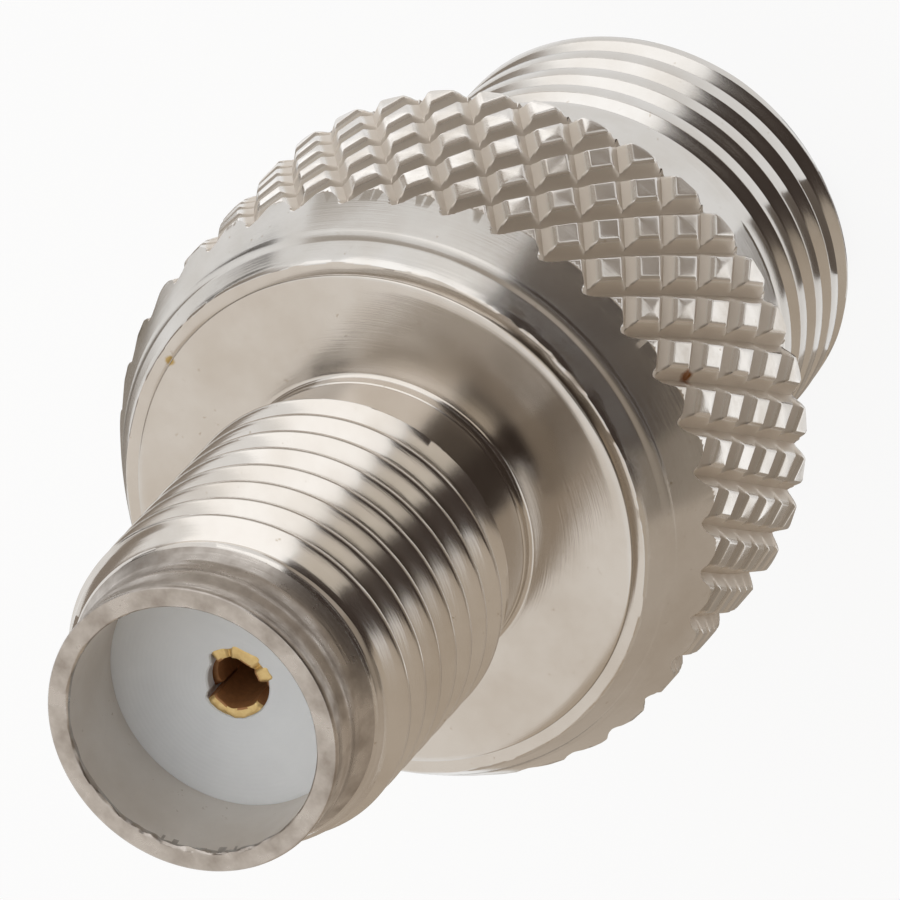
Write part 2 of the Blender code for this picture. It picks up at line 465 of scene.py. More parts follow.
def turned_coordinates(tree: Tree) -> Sockets:
    """Shader coordinates of a turned part in millimetres, with no seam round the axis.

    Args:
        tree: The tree that the nodes go in.

    Returns:
        place, the point in millimetres; radius; height; and round, the unit vector out from
        the axis.
    """
    where = node(tree, "TexCoord").outputs["Object"]
    place = node(tree, "VectorMath", {"operation": "SCALE"}, i0=where, Scale=1 / MM)
    flat = node(tree, "VectorMath", {"operation": "MULTIPLY"}, i0=place, i1=(1, 1, 0))
    return {
        "place": place.outputs[0],
        "radius": node(tree, "VectorMath", {"operation": "LENGTH"}, i0=flat).outputs["Value"],
        "height": node(tree, "SeparateXYZ", i0=place).outputs["Z"],
        "round": node(tree, "VectorMath", {"operation": "NORMALIZE"}, i0=flat).outputs[0],
    }


@dataclass(frozen=True)
class Mark:
    """A ragged spot of another colour, such as a speck of dried grease or of rust."""

    angle: float
    height: float
    radius: float
    size: float
    color: str

    def over(self, tree: Tree, place: Socket, ragged: Node, color: Socket) -> Socket:
        """Paints the spot over a colour.

        Args:
            tree: The material's tree.
            place: The shaded point in millimetres.
            ragged: Noise that frays the spot's edge.
            color: The colour below.

        Returns:
            The colour with the spot on it.
        """
        turn = math.radians(self.angle)
        spot = (self.radius * math.cos(turn), self.radius * math.sin(turn), self.height)
        away = node(tree, "VectorMath", {"operation": "DISTANCE"}, i0=place, i1=spot).outputs["Value"]
        frayed = node(tree, "Math", {"operation": "MULTIPLY_ADD"}, i0=ragged, i1=self.size * 0.9, i2=away)
        share = node(tree, "MapRange", Value=frayed, From_Min=self.size * 1.45, From_Max=self.size * 0.95)
        return node(
            tree, "Mix", {"data_type": "RGBA"}, i0=share, i6=color, i7=linear(self.color)
        ).outputs[2]


@dataclass(frozen=True)
class NickelPlate:
    """Bright nickel plate over turned brass.

    The eye sees a warm grey mirror, broken up by the rings that the turning tool left under
    the plate, by cloudy patches where it was handled, and by small stains. Scales count bumps
    to a millimetre: patches 1.8 mm wide and specks of 0.17 mm. Rings of the real part are 0.02
    to 0.1 mm wide, as drawn, and under 0.001 mm deep, which is drawn deeper so that it shows.
    With a dull radius, the metal nearer the axis is matt, as in the grooves of a knurl.
    """

    name: str
    color: str = "#D6D3CF"
    stain: str = "#A5947C"
    roughness: float = 0.19
    cloud: float = 0.10
    mottle: float = 0.28
    mottle_scale: float = 0.55
    speck_scale: float = 6.0
    ring_width: float = 0.035
    ring_height: float = 0.0012
    anisotropy: float = 0.0
    dull_radius: float = 0.0
    dull_fade: float = 0.05
    dull_color: str = "#D3CABF"
    dull_roughness: float = 0.3
    marks: tuple[Mark, ...] = ()

    def rings(self, tree: Tree, at: Sockets) -> Node:
        """Noise that runs round the axis, in the widths of the tool's rings.

        Args:
            tree: The material's tree.
            at: The turned coordinates.

        Returns:
            The noise.
        """
        around = node(tree, "VectorMath", {"operation": "SCALE"}, i0=at["round"], Scale=2.5)
        lift = node(tree, "Math", {"operation": "DIVIDE"}, i0=at["height"], i1=self.ring_width)
        reach = node(tree, "Math", {"operation": "DIVIDE"}, i0=at["radius"], i1=self.ring_width)
        reach_up = node(tree, "CombineXYZ", Z=reach)
        vector = node(tree, "VectorMath", {"operation": "ADD"}, i0=around, i1=reach_up)
        return node(
            tree, "TexNoise", {"noise_dimensions": "4D"}, Vector=vector, W=lift, Scale=1.0, Detail=2.0,
            Roughness=0.6,
        )

    def stained(self, tree: Tree, clouds: Node, specks: Node) -> Socket:
        """The plate's colour with its patches and specks.

        Args:
            tree: The material's tree.
            clouds: Noise in the patches' size.
            specks: Noise in the specks' size.

        Returns:
            The colour.
        """
        dots = node(tree, "MapRange", Value=specks, From_Min=0.66, From_Max=0.74, To_Min=0.0, To_Max=0.45)
        tint = node(
            tree, "MapRange", Value=clouds, From_Min=0.40, From_Max=0.75, To_Min=0.0, To_Max=self.mottle
        )
        share = node(tree, "Math", {"operation": "MAXIMUM"}, i0=dots, i1=tint)
        return node(
            tree, "Mix", {"data_type": "RGBA"}, i0=share, i6=linear(self.color), i7=linear(self.stain)
        ).outputs[2]

    def build(self) -> Material:
        """Makes the material.

        Returns:
            The material with its nodes.
        """
        material, tree, shader = blank_material(self.name)
        at = turned_coordinates(tree)
        clouds = node(
            tree, "TexNoise", Vector=at["place"], Scale=self.mottle_scale, Detail=4.0, Roughness=0.55
        )
        specks = node(
            tree, "TexNoise", Vector=at["place"], Scale=self.speck_scale, Detail=3.0, Roughness=0.7
        )
        color = self.stained(tree, clouds, specks)
        rough = node(
            tree, "MapRange", Value=clouds, From_Min=0.3, From_Max=0.7,
            To_Min=self.roughness - self.cloud / 2, To_Max=self.roughness + self.cloud / 2,
        )
        if self.dull_radius:
            deep = node(
                tree, "MapRange", Value=at["radius"], From_Min=self.dull_radius,
                From_Max=self.dull_radius - self.dull_fade,
            )
            rough = node(
                tree, "Math", {"operation": "MULTIPLY_ADD"}, i0=deep, i1=self.dull_roughness, i2=rough
            )
            color = node(
                tree, "Mix", {"data_type": "RGBA"}, i0=deep, i6=color, i7=linear(self.dull_color)
            ).outputs[2]
        for mark in self.marks:
            color = mark.over(tree, at["place"], specks, color)
        relief = self.rings(tree, at)
        bump = node(tree, "Bump", Strength=1.0, Distance=self.ring_height * MM, Height=relief)
        plug(tree, shader, Metallic=1.0, Base_Color=color, Roughness=rough, Normal=bump)
        if self.anisotropy:
            tangent = node(tree, "Tangent", {"direction_type": "RADIAL", "axis": "Z"})
            plug(tree, shader, Anisotropic=self.anisotropy, Anisotropic_Rotation=0.25, Tangent=tangent)
        return material


@dataclass(frozen=True)
class WhitePtfe:
    """PTFE turned from rod.

    The eye sees a soft milky white that lets light in a little, with faint tool rings on its
    face and no clear highlight. Feed marks are 0.09 mm apart, and clouds 0.8 mm wide.
    """

    name: str
    color: str = "#E1E5E8"
    shade: str = "#D2D6DA"
    roughness: float = 0.45
    ior: float = 1.35
    cloud_scale: float = 1.2
    ring_width: float = 0.09
    ring_height: float = 0.0006
    light_reach: float = 0.25

    def build(self) -> Material:
        """Makes the material.

        Returns:
            The material with its nodes.
        """
        material, tree, shader = blank_material(self.name)
        at = turned_coordinates(tree)
        clouds = node(
            tree, "TexNoise", Vector=at["place"], Scale=self.cloud_scale, Detail=5.0, Roughness=0.6
        )
        color = node(
            tree, "Mix", {"data_type": "RGBA"}, i0=clouds, i6=linear(self.color), i7=linear(self.shade)
        ).outputs[2]
        turn = node(
            tree, "Math", {"operation": "MULTIPLY"}, i0=at["radius"], i1=math.tau / self.ring_width
        )
        wave = node(tree, "Math", {"operation": "SINE"}, i0=turn)
        bump = node(tree, "Bump", Strength=1.0, Distance=self.ring_height * MM, Height=wave)
        plug(
            tree, shader, Base_Color=color, Roughness=self.roughness, IOR=self.ior,
            Subsurface_Weight=0.15, Subsurface_Radius=(1.0, 1.0, 1.0),
            Subsurface_Scale=self.light_reach * MM, Normal=bump,
        )
        return material


@dataclass(frozen=True)
class GoldPlate:
    """Gold plate over beryllium copper, turned and slotted.

    The eye sees pale yellow on the worn top of the tines and deep brown inside the socket. A
    darker copy of this material paints that brown on as painted shade of the recess. Its grain
    is 0.11 mm wide.
    """

    name: str
    color: str = "#E8D29C"
    worn: str = "#C6A468"
    roughness: float = 0.42
    metallic: float = 1.0
    grain_scale: float = 9.0
    grain_height: float = 0.01

    def build(self) -> Material:
        """Makes the material.

        Returns:
            The material with its nodes.
        """
        material, tree, shader = blank_material(self.name)
        at = turned_coordinates(tree)
        grain = node(
            tree, "TexNoise", Vector=at["place"], Scale=self.grain_scale, Detail=3.0, Roughness=0.6
        )
        color = node(
            tree, "Mix", {"data_type": "RGBA"}, i0=grain, i6=linear(self.color), i7=linear(self.worn)
        ).outputs[2]
        bump = node(tree, "Bump", Strength=1.0, Distance=self.grain_height * MM, Height=grain)
        plug(
            tree, shader, Base_Color=color, Metallic=self.metallic, Roughness=self.roughness, Normal=bump
        )
        return material


@dataclass(frozen=True)
class Wear:
    """A stretch of an edge that is torn more than the rest, round an angle in degrees."""

    angle: float
    reach: float
    amount: float = 1.0

    def at(self, degrees: np.ndarray) -> np.ndarray:
        """How torn the edge is at each angle in degrees."""
        return self.amount * np.exp(-(((degrees - self.angle) / self.reach) ** 2))


@dataclass(frozen=True)
class FrontShell:
    """Nose, fine thread, neck, flange and the spigot behind it, turned in one piece.

    The nose's side goes down in steps, each given by how far it lies inside the nose's radius
    and below the rim.
    """

    columns: int = 288
    end: float = 21.2005
    nose_bottom: float = 20.0505
    thread_top: float = 19.148
    thread_bottom: float = 14.198
    flange_top: float = 12.3277
    flange_bottom: float = 11.1277
    spigot_bottom: float = 8.7277
    head_seat: float = 17.3005
    thread_radius: float = 3.165
    pitch: float = 0.7056
    thread_depth: float = 0.40
    thread_start: float = 0.30
    nose_radius: float = 2.705
    bore_radius: float = 2.325
    inner_bore_radius: float = 2.05
    neck_radius: float = 2.8
    neck_ring: float = 0.02
    face_rise: float = 0.16
    fillet: float = 0.1
    flange_radius: float = 4.6495
    spigot_radius: float = 3.6
    spigot_chamfer: float = 0.15
    wave_depth: float = 0.014
    wave_width: float = 0.27
    rim_wear: tuple[Wear, ...] = (Wear(127, 32), Wear(60, 45, 0.25))
    least_wear: float = 0.04
    nose_steps: tuple[Point, ...] = (
        (0.022, 0.008), (0.006, 0.026), (0.0, 0.055), (0.0, 0.17), (0.012, 0.20), (0.012, 0.50),
        (-0.004, 0.54), (-0.004, 0.74), (0.014, 0.79),
    )

    @property
    def foot(self) -> float:
        """Height at which the thread's lower cone would meet the neck."""
        return self.thread_bottom - (self.thread_radius - self.neck_radius)

    def envelope(self, height: np.ndarray) -> np.ndarray:
        """The blank under the thread: a wavy lead cone, a cylinder and a cone to the neck.

        Args:
            height: Height of each point.

        Returns:
            The blank's radius there.
        """
        slope = (self.thread_radius - self.nose_radius) / (self.nose_bottom - self.thread_top)
        down = self.nose_bottom - height
        wave = self.wave_depth * np.sin(down * math.tau / self.wave_width)
        lead = self.nose_radius + down * slope + wave
        tail = self.neck_radius + (height - self.foot)
        return np.minimum(np.minimum(lead, tail), self.thread_radius)

    def thread(self) -> Thread:
        """The thread between the nose and the neck.

        Returns:
            The thread.
        """
        return Thread(
            major=self.thread_radius, pitch=self.pitch, depth=self.thread_depth,
            top=self.nose_bottom - self.thread_start, bottom=self.foot + 0.02, envelope=self.envelope,
            crest=0.16, root=0.14, phase=0.25,
        )

    def add_nose(self, skin: TurnedSkin) -> None:
        """Adds the rim, its inner edge torn, and the nose's side down to the thread.

        Args:
            skin: The skin that takes the rows.
        """
        bore, nose, end = self.bore_radius, self.nose_radius, self.end
        torn = sum(wear.at(skin.turns * 360) for wear in self.rim_wear)
        torn[-1] = torn[0]
        skin.path([(bore, end - 0.22)])
        edge = [(bore, end - 0.10), (bore + 0.005, end - 0.025), (bore + 0.03, end - 0.003)]
        skin.ragged(edge, amount=0.035, grain=1.6, seed=11, where=torn + self.least_wear)
        skin.path(straight((bore + 0.05, end), (nose - 0.05, end), 3))
        skin.path((nose - inwards, end - down) for inwards, down in self.nose_steps)
        skin.path([(nose - 0.010, self.nose_bottom + 0.06), (nose + 0.004, self.nose_bottom - 0.02)])
        start = self.nose_bottom - self.thread_start
        lead = float(self.envelope(np.array([start]))[0])
        skin.path([(lead - 0.02, start + 0.04)])

    def add_flange(self, skin: TurnedSkin) -> None:
        """Adds the neck with its small ring, the fillet and the flange's rising face.

        Args:
            skin: The skin that takes the rows.
        """
        neck, foot, base = self.neck_radius, self.thread().bottom, self.flange_top + self.face_rise
        root, ring = base + self.fillet, self.neck_radius + self.neck_ring
        skin.path([(neck, foot - 0.03), (neck, foot - 0.10)])
        skin.path([(neck, root + 0.18), (ring, root + 0.16), (ring, root + 0.12), (neck, root + 0.10)])
        skin.path(arc((neck + self.fillet, root), self.fillet, 180, 262, 6))
        inner, outer = neck + self.fillet + 0.02, self.flange_radius - 0.02
        skin.path(straight((inner, base), (outer, self.flange_top), 8))
        skin.path([(self.flange_radius, self.flange_top - 0.012)])

    def build(self) -> Piece:
        """Makes the piece.

        Returns:
            The object.
        """
        skin = TurnedSkin(self.columns)
        self.add_nose(skin)
        skin.thread(self.thread())
        self.add_flange(skin)
        skin.path(
            [
                (self.flange_radius, self.flange_bottom), (self.spigot_radius, self.flange_bottom),
                (self.spigot_radius, self.spigot_bottom + self.spigot_chamfer),
                (self.spigot_radius - self.spigot_chamfer, self.spigot_bottom),
                (self.inner_bore_radius, self.spigot_bottom), (self.inner_bore_radius, self.head_seat),
                (self.bore_radius, self.head_seat), (self.bore_radius, self.end - 2.2),
                (self.bore_radius, self.end - 1.0),
            ]
        )
        return piece_from("sma_shell", skin.mesh("sma_shell"))

    def zone(self, radius: float, height: float, _rise: float) -> Zone:
        """The nose is brushed, the bore dull, and the flange's face is faced.

        Args:
            radius: The face's distance from the axis.
            height: Its height.

        Returns:
            The face's zone.
        """
        if radius < self.bore_radius + 0.01 and height < self.end - 0.15:
            return Zone.BORED
        if height > self.nose_bottom - 0.28:
            return Zone.BRUSHED
        faced = abs(height - self.flange_top) < self.face_rise + 0.05
        return Zone.FACED if faced and radius > self.neck_radius + 0.03 else Zone.PLAIN


@dataclass(frozen=True)
class Knurl:
    """Diamond knurl, as a solid whose side carries the pattern and whose ends run on plain.

    Distances across a diamond are shares of the spacing of its grooves, 0 in the middle and
    0.5 at a groove's bottom. The land is where the level top ends, the dome is how much lower
    its edge lies than its middle, and dimple, lean and drop are how far the diamonds differ.
    """

    radius: float = 5.65
    teeth: int = 36
    half_row: float = 0.8895
    depth: float = 0.25
    cross_share: float = 0.66
    land: float = 0.265
    dome: float = 0.03
    dimple: float = 0.03
    lean: float = 0.03
    drop: float = 0.012
    rounding: float = 0.16
    first_height: float = 6.53
    lowest_row: int = -2
    pattern_top: float = 11.6
    fade_top: float = 11.37
    fade: float = 0.45
    least_strength: float = 0.3
    bottom: float = -1.0
    top: float = 13.0
    seed: int = 5
    stations: tuple[float, ...] = (0.0, 0.12, 0.205, 0.24, 0.265, 0.3, 0.38, 0.45, 0.5)

    def mesh(self) -> Mesh:
        """Makes the solid.

        Each diamond is a square in the two groove directions, and a grid of points whose
        lines follow the grooves covers it, so every groove and edge is crisp.

        Returns:
            The closed mesh.
        """
        line = np.array([-share for share in reversed(self.stations[1:])] + list(self.stations))
        across, along = np.meshgrid(line, line, indexing="ij")
        cut = np.maximum(self.ramp(np.abs(across)) * self.cross_share, self.ramp(np.abs(along)))
        size = np.maximum(np.abs(across), np.abs(along))
        hollow = np.clip(1 - (size / (self.land - 0.03)) ** 2, 0, 1)
        dome = self.dome * np.clip(size / (self.land + 0.03), 0, 1) ** 2
        inside = np.clip((0.5 - size) / 0.25, 0, 1)
        triangles = self.triangles(line)
        draw = np.random.default_rng(self.seed)
        highest_row = math.ceil((self.pattern_top - self.first_height) / self.half_row)
        points, faces = [], []
        for level in range(self.lowest_row, highest_row + 1):
            for tooth in range(self.teeth):
                dimple = draw.uniform(0.0, self.dimple)
                lean = draw.normal(0, self.lean, 2)
                drop = draw.uniform(0, self.drop)
                angle = (2 * tooth + level % 2 + across + along) / (2 * self.teeth) * math.tau
                height = self.first_height + (level + across - along) * self.half_row
                strength = np.clip((self.fade_top - height) / self.fade, self.least_strength, 1)
                radius = self.radius - (self.depth * cut + dome) * strength - drop * inside
                tilt = (lean[0] * across + lean[1] * along) * 0.3 * inside
                radius = np.minimum(radius - dimple * hollow + tilt, self.radius)
                spots = np.stack([radius * np.cos(angle), radius * np.sin(angle), height], axis=-1)
                faces.append(triangles + len(points) * len(line) ** 2)
                points.append(spots.reshape(-1, 3))
        return self.capped(np.concatenate(points), np.concatenate(faces))

    def triangles(self, line: np.ndarray) -> np.ndarray:
        """Triangles over one diamond's grid, their diagonals running out from its middle.

        Args:
            line: The grid's stations in one direction.

        Returns:
            Point numbers of each triangle.
        """
        count = len(line)
        found = []
        for i in range(count - 1):
            for j in range(count - 1):
                a, b = i * count + j, (i + 1) * count + j
                c, d = b + 1, a + 1
                if (line[i] + line[i + 1]) * (line[j] + line[j + 1]) > 0:
                    found += [(a, b, c), (a, c, d)]
                else:
                    found += [(a, b, d), (b, c, d)]
        return np.array(found)

    def ramp(self, away: np.ndarray) -> np.ndarray:
        """Depth share of one groove.

        Args:
            away: Distance from the diamond's middle, half a pitch being the groove's bottom.

        Returns:
            Nought on the land and one at the bottom, with a rounded edge and root.
        """
        soft = self.rounding
        edge = softened((away - self.land) / (0.5 - self.land), soft)
        root = 1 - np.maximum(1 - edge, 0)
        floor = np.where(root > 1 - soft, 1 - soft / 2 - (1 - root) ** 2 / (2 * soft), root)
        return floor / (1 - soft / 2)

    def capped(self, points: np.ndarray, faces: np.ndarray) -> Mesh:
        """Closes the ends of the pattern with plain skirts and flat faces.

        Args:
            points: The pattern's points in millimetres.
            faces: Its triangles.

        Returns:
            The closed mesh.
        """
        mesh = bpy.data.meshes.new("knurl_form")
        mesh.from_pydata((points * MM).tolist(), [], faces.tolist())
        work = bmesh.new()
        work.from_mesh(mesh)
        bmesh.ops.remove_doubles(work, verts=work.verts, dist=0.002 * MM)
        middle = (self.bottom + self.top) / 2 * MM
        for height, side in ((self.bottom, -1), (self.top, 1)):
            rim = [edge for edge in work.edges if edge.is_boundary]
            rim = [edge for edge in rim if (edge.verts[0].co.z - middle) * side > 0]
            grown = bmesh.ops.extrude_edge_only(work, edges=rim)["geom"]
            for vert in (item for item in grown if isinstance(item, bmesh.types.BMVert)):
                vert.co.z = height * MM
            lid = [item for item in grown if isinstance(item, bmesh.types.BMEdge) and item.is_boundary]
            bmesh.ops.contextual_create(work, geom=lid)
        bmesh.ops.recalc_face_normals(work, faces=work.faces)
        work.to_mesh(mesh)
        work.free()
        return mesh


@dataclass(frozen=True)
class KnurledBody:
    """Lip, cone, diamond-knurled grip and rear threaded barrel, turned in one piece."""

    columns: int = 288
    knurl: Knurl = Knurl()
    knurl_bottom: float = 6.4
    knurl_top: float = 10.76
    lip_top: float = 12.2977
    lip_radius: float = 4.9
    lip_wear: Wear = Wear(268, 20, 1.1)
    least_wear: float = 0.5
    line_radius: float = 5.18
    line_depth: float = 0.026
    bow: float = 0.02
    recess_radius: float = 4.65
    recess_floor: float = 11.0777
    spigot_bore: float = 3.65
    spigot_floor: float = 8.6777
    insulator_bore: float = 3.0
    shoulder_top: float = 5.8277
    shoulder_bottom: float = 5.2277
    shoulder_bore: float = 2.1
    rear_bore: float = 2.8
    rear_chamfer: float = 0.15
    barrel_radius: float = 3.975
    barrel_edge: float = 0.28
    pitch: float = 0.75
    thread_depth: float = 0.21
    thread_end: float = 3.45

    @property
    def slope(self) -> float:
        """How much the cone narrows in a millimetre of height."""
        return (self.knurl.radius - self.lip_radius) / (self.lip_top - self.knurl_top)

    def envelope(self, height: np.ndarray) -> np.ndarray:
        """The barrel's blank, a cylinder with a broken edge below."""
        return np.minimum(self.barrel_radius - self.barrel_edge + height, self.barrel_radius)

    def thread(self) -> Thread:
        """The barrel's thread, which runs out into the plain part below the grip.

        Returns:
            The thread.
        """
        return Thread(
            major=self.barrel_radius, pitch=self.pitch, depth=self.thread_depth, top=self.thread_end,
            bottom=0.03, envelope=self.envelope, crest=0.42, root=0.14, fade=0.35,
        )

    def on_cone(self, radius: float, lift: float = 0.0) -> Point:
        """A point on the cone between grip and lip, which bows out a little.

        Args:
            radius: Radius of the straight cone there.
            lift: How much further out the point lies.

        Returns:
            The point's radius and height.
        """
        height = self.lip_top - (radius - self.lip_radius) / self.slope
        width = self.knurl.radius - self.lip_radius
        bow = self.bow * math.sin(math.pi * (radius - self.lip_radius) / width)
        return radius + lift + max(bow, 0.0), height

    def add_barrel(self, skin: TurnedSkin) -> None:
        """Adds the rear end face, the thread and the barrel up to the grip's upper edge.

        Args:
            skin: The skin that takes the rows.
        """
        rim, barrel, grip = self.barrel_radius - self.barrel_edge, self.barrel_radius, self.knurl.radius
        over = grip + self.knurl.depth
        start, corner = (self.rear_bore, self.rear_chamfer), (self.rear_bore + self.rear_chamfer, 0.0)
        skin.path([(self.rear_bore, 0.2), start])
        skin.path([*rounded(start, corner, (rim, 0.0), 0.03), (rim, 0.0)])
        body = TurnedSkin(self.columns)
        body.thread(self.thread())
        skin.rows += list(reversed(body.rows))
        skin.path(
            [
                (barrel, self.thread_end + 0.05), (barrel, self.knurl_bottom - 0.12),
                (barrel + 0.02, self.knurl_bottom - 0.04), (barrel + 0.08, self.knurl_bottom),
                (grip - 0.12, self.knurl_bottom), (grip - 0.07, self.knurl_bottom + 0.03),
                (over, self.knurl_bottom + 0.06 + over - grip + 0.06),
                (over, self.lip_top - (over - self.lip_radius) / self.slope),
            ]
        )

    def add_lip(self, skin: TurnedSkin) -> None:
        """Adds the cone with its turned line, and the lip with its wavy edge.

        Args:
            skin: The skin that takes the rows.
        """
        line, lip, top = self.line_radius, self.lip_radius, self.lip_top
        skin.path(self.on_cone(radius) for radius in (5.62, 5.5, 5.4, 5.3, 5.24, line + 0.03))
        skin.path([self.on_cone(line - 0.025, -self.line_depth)])
        skin.path(self.on_cone(radius) for radius in (line - 0.055, 5.1, 5.04, 4.97))
        edge = [self.on_cone(4.93), (lip - 0.004, top - 0.012), (lip - 0.03, top)]
        torn = self.least_wear + self.lip_wear.at(skin.turns * 360)
        skin.ragged(edge, amount=0.011, grain=1.3, seed=31, where=torn)
        recess = self.recess_radius
        skin.path([(lip - 0.07, top), (recess + 0.02, top), (recess, top - 0.012)])

    def blank(self) -> Mesh:
        """The turned and threaded blank before knurling.

        Returns:
            The closed mesh.
        """
        skin = TurnedSkin(self.columns)
        self.add_barrel(skin)
        self.add_lip(skin)
        skin.path(
            [
                (self.recess_radius, self.recess_floor), (self.spigot_bore, self.recess_floor),
                (self.spigot_bore, self.spigot_floor), (self.insulator_bore, self.spigot_floor),
                (self.insulator_bore, self.shoulder_top), (self.shoulder_bore, self.shoulder_top),
                (self.shoulder_bore, self.shoulder_bottom), (self.rear_bore, self.shoulder_bottom),
            ]
        )
        return skin.mesh("grip_blank")

    def build(self) -> Piece:
        """Makes the piece, with the knurl cut into the blank.

        Returns:
            The object.
        """
        piece = piece_from("fme_body", self.blank())
        form = piece_from("knurl_form", self.knurl.mesh())
        cut = piece.modifiers.new("knurl", "BOOLEAN")
        cut.operation = "INTERSECT"
        cut.solver = "MANIFOLD"
        cut.object = form
        graph = bpy.context.evaluated_depsgraph_get()
        mesh = bpy.data.meshes.new_from_object(piece.evaluated_get(graph))
        piece.modifiers.clear()
        piece.data = mesh
        bpy.data.objects.remove(form)
        shade(mesh)
        return piece

    def zone(self, radius: float, height: float, rise: float) -> Zone:
        """The lip's top is faced, the grip is rough, and the barrel and cone are bright.

        Args:
            radius: The face's distance from the axis.
            height: Its height.
            rise: How far it faces up.

        Returns:
            The face's zone.
        """
        cone = self.knurl.radius - (height - self.knurl_top) * self.slope
        if self.knurl_bottom + 0.05 < height < self.knurl_top + 0.05 and radius > self.lip_radius:
            return Zone.BRUSHED
        if self.knurl_top < height < self.knurl_top + 0.6 and self.lip_radius < radius < cone - 0.012:
            return Zone.BRUSHED
        return Zone.FACED if rise > 0.9 and radius > self.recess_radius else Zone.PLAIN


@dataclass(frozen=True)
class FrontInsulator:
    """White bead whose face closes the jack's bore round the contact.

    Round the pressed angle its bore is squeezed in over the sunken tines.
    """

    columns: int = 144
    face: float = 19.2505
    radius: float = 2.3245
    head_bottom: float = 17.3505
    stem_radius: float = 2.0
    foot: float = 12.1777
    bore: float = 0.645
    dish: float = 0.012
    pressed_angle: float = 32
    pressed_reach: float = 40
    pressed_fade: float = 12
    pressed_depth: float = 0.13

    def build(self) -> Piece:
        """Makes the piece.

        Returns:
            The object.
        """
        skin = TurnedSkin(self.columns)
        away = np.abs((skin.turns * 360 + 180) % 360 - 180 - self.pressed_angle)
        pressed = np.clip((self.pressed_reach - away) / self.pressed_fade, 0, 1)
        bore = self.bore - self.pressed_depth * pressed
        skin.row(self.bore, self.face - 0.36)
        skin.row(bore, self.face - 0.26)
        skin.row(bore, self.face - 0.03)
        skin.row(bore + 0.03, self.face)
        for radius in np.linspace(0.8, 2.15, 9):
            skin.row(radius, self.face - self.dish * math.sin(math.pi * (radius - 0.7) / 1.5))
        skin.path(
            [
                (self.radius - 0.03, self.face), (self.radius, self.face - 0.006),
                (self.radius, self.head_bottom), (self.stem_radius, self.head_bottom),
                (self.stem_radius, self.foot), (self.bore, self.foot),
            ]
        )
        return piece_from("front_bead", skin.mesh("front_bead"))


@dataclass(frozen=True)
class RearInsulator:
    """White bead clamped between the shell's spigot and the body's inner shoulder."""

    columns: int = 144
    collar_bottom: float = 11.2777
    stem_radius: float = 2.0
    spigot_floor: float = 8.6777
    flange_radius: float = 2.95
    shoulder_top: float = 5.8777
    face_radius: float = 2.05
    face: float = 5.2277
    bore: float = 0.685
    dish: float = 0.01

    def build(self) -> Piece:
        """Makes the piece.

        Returns:
            The object.
        """
        skin = TurnedSkin(self.columns)
        skin.path(
            [
                (self.bore, self.collar_bottom), (self.stem_radius, self.collar_bottom),
                (self.stem_radius, self.spigot_floor), (self.flange_radius, self.spigot_floor),
                (self.flange_radius, self.shoulder_top), (self.face_radius, self.shoulder_top),
                (self.face_radius, self.face + 0.04), (self.face_radius - 0.012, self.face + 0.01),
                (self.face_radius - 0.04, self.face),
            ]
        )
        for radius in np.linspace(1.9, 0.8, 7):
            skin.row(radius, self.face + self.dish * math.sin(math.pi * (radius - 0.7) / 1.3))
        skin.path([(self.bore + 0.03, self.face), (self.bore, self.face + 0.03)])
        return piece_from("rear_bead", skin.mesh("rear_bead"))


@dataclass(frozen=True)
class Tine:
    """One finger of the slotted socket, between two angles, as the photo shows its worn end.

    Lip is the radius that its end is spread to, and drop is how far it lies below the others.
    """

    start: float
    end: float
    lip: float
    drop: float = 0.0


